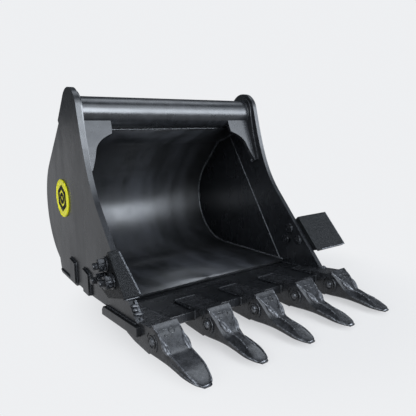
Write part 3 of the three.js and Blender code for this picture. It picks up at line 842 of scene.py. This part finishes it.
def outline(y, spade):
    """Half the width, half the flat top, and the heights of bottom, shoulder and top of a tooth at y."""
    half = min(TOOTH_HALF, eased(SPADE_HALF if spade else POINT_HALF, y))
    flat = half * eased(SPADE_FLAT if spade else POINT_FLAT, y)
    top, low = eased(TOP, y), eased(BOTTOM, y)
    return half, flat, low, low + (top - low) * eased(SHOULDER, y), top


def rear_of(z):
    """How far back a tooth reaches at height z: round its pin, and leaning forwards above it."""
    if z > PANEL_Z:
        return PANEL_FOOT[0] - (z - PANEL_FOOT[1]) * PANEL_RUN / PANEL_RISE
    rise = z - PIN[1]
    return PIN[0] + math.sqrt(EAR_R ** 2 - rise ** 2) if abs(rise) < EAR_RISE else TOOTH_REAR


def tooth_ring(x, y, spade):
    """A tooth's cross-section: flat bottom, upright flanks, hollow flutes, and a flat top or a ridge."""
    half, flat, low, shoulder, top = outline(y, spade)
    blade = min(1, max(0, (BLADE_FROM - y) / BLADE_RAMP))
    sag, dish = (depth * blade for depth in (SPADE_HOLLOW if spade else POINT_HOLLOW))
    right = [(half - 4, low), (half, low + 4), (half, (low + shoulder) / 2), (half, shoulder)]
    right += [(half + (flat - half) * t, shoulder + (top - shoulder) * t - sag * math.sin(math.pi * t))
              for t in (0.25, 0.5, 0.75)]
    right += [(flat, top), (flat * 0.8, top - dish * 0.6), (flat * 0.4, top - dish)]
    ring = [(x + u, z) for u, z in right] + [(x, top - dish)]
    return ring + [(x - u, z) for u, z in reversed(right)] + [(x, low)]


def tooth_body(x, spade):
    """A tooth without its socket, from its rear, which follows rear_of, to its tip."""
    ys = [TOOTH_REAR - 4 * i for i in range(14)] + [SQUARE_FROM - 5 * i for i in range(46)]
    ys += [-354, TOOTH_TIP]
    rings = []
    for y in ys:
        lag = max(0, (y - SQUARE_FROM) / (TOOTH_REAR - SQUARE_FROM))
        rings.append([(u, y + lag * (rear_of(z) - TOOTH_REAR), z) for u, z in tooth_ring(x, y, spade)])
    points, faces = skin(rings)
    # The rear end isn't flat, so it is laid in level strips from flank to flank.
    n = len(rings[0])
    faces.remove(tuple(range(n)))
    faces += [(k, k + 1, n - 3 - k, n - 2 - k) for k in range(n // 2 - 2)]
    faces += [(n - 2, n - 1, 0), (n // 2 - 2, n // 2 - 1, n // 2)]
    return points, faces


def cut(obj, cutters):
    """Takes the cutters' bodies out of a piece."""
    for cutter in cutters:
        tool = bpy.data.objects.new("cutter", closed_mesh("cutter", *cutter))
        scene.collection.objects.link(tool)
        boolean = obj.modifiers.new("cut", "BOOLEAN")
        boolean.operation, boolean.object, boolean.solver = "DIFFERENCE", tool, "EXACT"
        bpy.context.view_layer.update()
        result = bpy.data.meshes.new_from_object(obj.evaluated_get(bpy.context.evaluated_depsgraph_get()))
        obj.modifiers.remove(boolean)
        old, obj.data = obj.data, result
        result.name = old.name
        bpy.data.objects.remove(tool)


def nose_room(x):
    """The socket that a tooth leaves round its adapter's nose."""
    return skin([[(x - half, y, low), (x + half, y, low), (x + half, y, high), (x - half, y, high)]
                 for y, half, low, high in NOSE_ROOM])


def pin_hole(x):
    """The hole for the retaining pin, through both flanks."""
    return spun([(-60, PIN_HOLE_R), (60, PIN_HOLE_R)], PIN, 1, sides=24, middle=x)


def emboss(x):
    """Raised casting marks on a tooth's rear panel: a large ring, two short bars and a small ring."""
    def on_panel(u, v):
        y = -100 - v
        return (x + u, y, eased(TOP, y) + 0.4)

    def oval(u, v, wide, high, count):
        turns = np.linspace(0, 2 * math.pi, count)
        return [on_panel(u + wide * math.cos(t), v + high * math.sin(t)) for t in turns]

    bars = [[on_panel(-24, 2 + 9 * k), on_panel(-4, 5 + 9 * k)] for k in (0, 1)]
    return [plain_run(path, 1.7) for path in (oval(8, 22, 11, 9, 25), *bars, oval(-22, 34, 4, 3, 13))]


def ear_ridges(x):
    """Ridges that run round the pin on both flanks of a tooth."""
    runs = []
    for s in (-1, 1):
        runs.append(plain_run(arc(PIN, 23, 0, 360, x + s * TOOTH_HALF, 30), 2.6))
        runs.append(plain_run(arc(PIN, 37, 115, 245, x + s * (TOOTH_HALF - 1), 20), 3))
    return runs


def edge_ridges(x, spade):
    """Cast ridges along the edges of a tooth's top and of its blade, and the knob of each shoulder."""
    runs = []

    def top_edge(s, y, inset=0, sunk=0):
        _, flat, _, _, top = outline(y, spade)
        return (x + s * flat - s * inset, y, top - sunk)

    def blade_edge(s, y):
        half, _, _, shoulder, _ = outline(y, spade)
        return (x + s * (half - RIDGE_SUNK), y, shoulder)

    for s in (-1, 1):
        top_spots = [top_edge(s, y) for y in RIDGE_SPOTS if y > POINT_RIDGE_END or spade]
        blade_spots = [blade_edge(s, y) for y in RIDGE_SPOTS if y < BLADE_EDGE_FROM]
        knob_spots = [top_edge(s, y, 2, 4) for y in RIDGE_SPOTS if KNOB_TO < y < KNOB_FROM]
        runs += [plain_run(top_spots, RIDGE_R, RIDGE_SIDES), plain_run(blade_spots, RIDGE_R, RIDGE_SIDES),
                 plain_run(knob_spots, 3, 12, 9.5)]
    half, z = eased(SPADE_HALF if spade else POINT_HALF, -352) - 1, eased(TOP, -352)
    tip_spots = [(x - half, -350, z - 3), (x, -355, z), (x + half, -350, z - 3)]
    runs.append(plain_run(tip_spots, 2.6, RIDGE_SIDES))
    runs.append(skin([[(x + u, -84, 121), (x + u, -87, 125), (x + u, -99, 117.8), (x + u, -101, 112)]
                      for u in (-50, 50)]))
    return runs


def make_tooth(i, x):
    """Tooth `i` in place of its CAD node, with its casting marks and its rubbed ridges, whose light colour
    is partly a painted highlight.
    """
    tooth = piece(f"tooth_shell_{i}", *tooth_body(x, i == SPADE), CAST)
    cut(tooth, (nose_room(x), pin_hole(x)))
    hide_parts(f"tooth_{i}")
    finish_edges(tooth, TOOTH_EDGE)
    piece(f"tooth_marks_{i}", *together(emboss(x) + ear_ridges(x)), CAST)
    # The ridges' light colour is rubbed paint and partly a painted highlight along the edges and on the
    # knobs.
    ridges = piece(f"tooth_ridges_{i}", *together(edge_ridges(x, i == SPADE)), CAST, material=WORN_AND_HIGHLIGHT)
    keep_corners(ridges, RIDGE_CORNER)


def make_pin(i, x):
    """The retaining pin of tooth `i`, with domed ends, on its own body."""
    rod = spun([(-u, r) for u, r in DOME] + list(DOME[::-1]), PIN, 1, sides=32, middle=x)
    # The pin's light worn colour is partly a painted highlight on its domed ends.
    pin = piece(f"pin_{i}", *rod, STEEL, body=f"pin_{i}", material=WORN_AND_HIGHLIGHT)
    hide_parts(f"tooth_pin_{i}")
    keep_corners(pin, PIN_CORNER)


for i, x in TEETH:
    make_tooth(i, x)
    make_pin(i, x)


# ---------------------------------------------------------------- the wing's edges, with a painted highlight along their bevel
# A thin bright run along the wing's outer and lower edges: a painted highlight of their bevel.
wing_edge_highlight = [cutter_at(WING_FROM, CUTTER_FROM, WING_FACE), cutter_at(WING_TO, CUTTER_FROM, WING_FACE),
             cutter_at(WING_TO, CUTTER_TO, WING_FACE)]
piece("wing_edge_highlight", *plain_run(wing_edge_highlight, 3, 8), CAST, material=BARE_WELD_AND_HIGHLIGHT)


# ---------------------------------------------------------------- badge
BADGE, BADGE_FACE = (882, 432), -524.4        # its middle, as (y, z), and the x of its outer face
RIM = ((0.5, 92), (-2, 92.5), (-2.6, 95), (-2, 97.5), (0.5, 98))    # (x from the face, radius)
SYMBOL_SUNK, SYMBOL_OUT, SYMBOL_SLOPE = 0.5, 2.2, 0.8


def flat_ring(outer, inner, sides, turn=0):
    """A flat raised ring on the badge, round or many-sided."""
    base, face = BADGE_FACE + SYMBOL_SUNK, BADGE_FACE - SYMBOL_OUT
    section = ((base, outer), (face, outer - SYMBOL_SLOPE), (face, inner + SYMBOL_SLOPE), (base, inner))
    rings = []
    for k in range(sides):
        a = 2 * math.pi * k / sides + turn
        rings.append([(x, BADGE[0] + r * math.cos(a), BADGE[1] + r * math.sin(a)) for x, r in section])
    return skin(rings, closed=True)


piece("badge_rim", *spun(seated(RIM, BADGE_FACE), BADGE, 1, sides=64, closed=True), YELLOW)
piece("badge_symbol", *together([flat_ring(70, 46, 6, 0.5), flat_ring(30, 12, 24)]), PAINT, smooth=False,
      material=INK)
